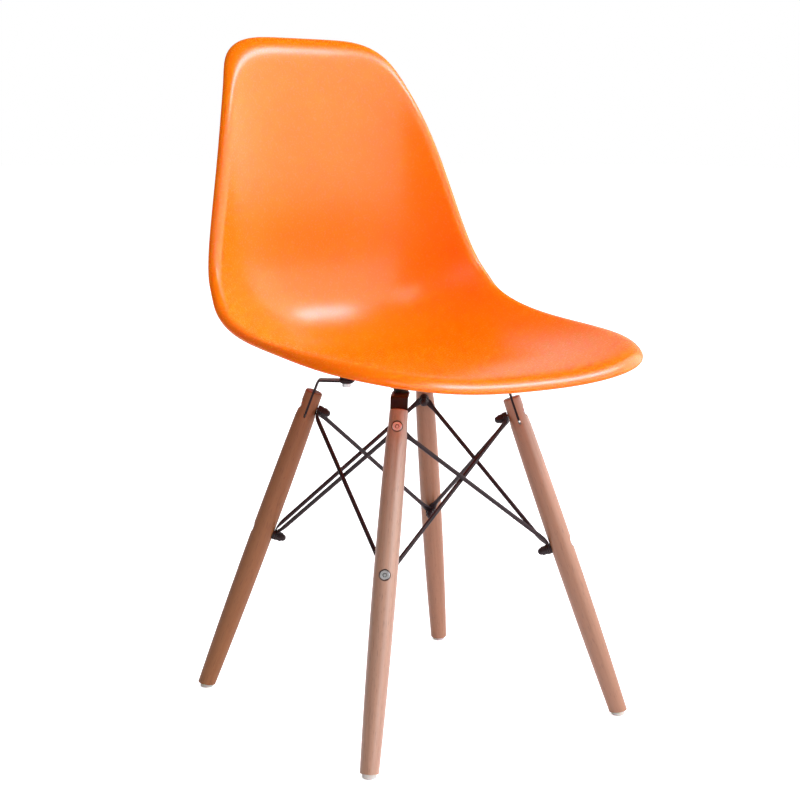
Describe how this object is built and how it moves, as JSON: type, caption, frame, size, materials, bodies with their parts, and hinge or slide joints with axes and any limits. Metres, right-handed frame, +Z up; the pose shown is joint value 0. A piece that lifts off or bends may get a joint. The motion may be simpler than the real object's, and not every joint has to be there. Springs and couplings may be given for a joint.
{
  "type": "moulded plastic shell chair",
  "caption": "Side chair with a one-piece moulded plastic seat and back on leaning wooden dowel legs, tied by crossed black steel rods.",
  "frame": {"origin": "on the floor, under the middle of the chair's width and depth", "axes": "+Z up from the floor, -Y the way the sitter faces, +X to the sitter's left"},
  "size_m": [0.4618, 0.4858, 0.8157],
  "materials": {
    "shell_plastic": "orange moulded polypropylene, semi-gloss with a fine texture",
    "beech": "turned beech, satin clear lacquer, grain along the leg",
    "black_steel": "black powder-coated steel",
    "bright_steel": "bright zinc-plated steel",
    "insert_brass": "machined brass",
    "black_rubber": "black moulded rubber",
    "glide_plastic": "milky white plastic"
  },
  "bodies": {
    "root": {"brace_rod_back_left_to_back_right": "black_steel", "brace_rod_back_left_to_front_left": "black_steel", "brace_rod_back_right_to_back_left": "black_steel", "brace_rod_back_right_to_front_right": "black_steel", "brace_rod_front_left_to_back_left": "black_steel", "brace_rod_front_left_to_front_right": "black_steel", "brace_rod_front_right_to_back_right": "black_steel", "brace_rod_front_right_to_front_left": "black_steel", "glide_back_left": "glide_plastic", "glide_back_right": "glide_plastic", "glide_front_left": "glide_plastic", "glide_front_right": "glide_plastic", "glide_nails": "bright_steel", "leg_back_left": "beech", "leg_back_right": "beech", "leg_bracket_back_left": "black_steel", "leg_bracket_back_right": "black_steel", "leg_bracket_front_left": "black_steel", "leg_bracket_front_right": "black_steel", "leg_front_left": "beech", "leg_front_right": "beech", "lower_bolt_washers": "black_steel", "lower_cap_nuts": "black_steel", "lower_leg_bolts": "bright_steel", "mount_pad_back_left": "black_rubber", "mount_pad_back_right": "black_rubber", "mount_pad_front_left": "black_rubber", "mount_pad_front_right": "black_rubber", "mount_screws": "bright_steel", "mount_washers": "black_steel", "seat_shell": "shell_plastic", "threaded_inserts": "insert_brass", "upper_bolt_washers": "black_steel", "upper_cap_nuts": "black_steel", "upper_leg_bolts": "bright_steel"}
  },
  "joints": []
}
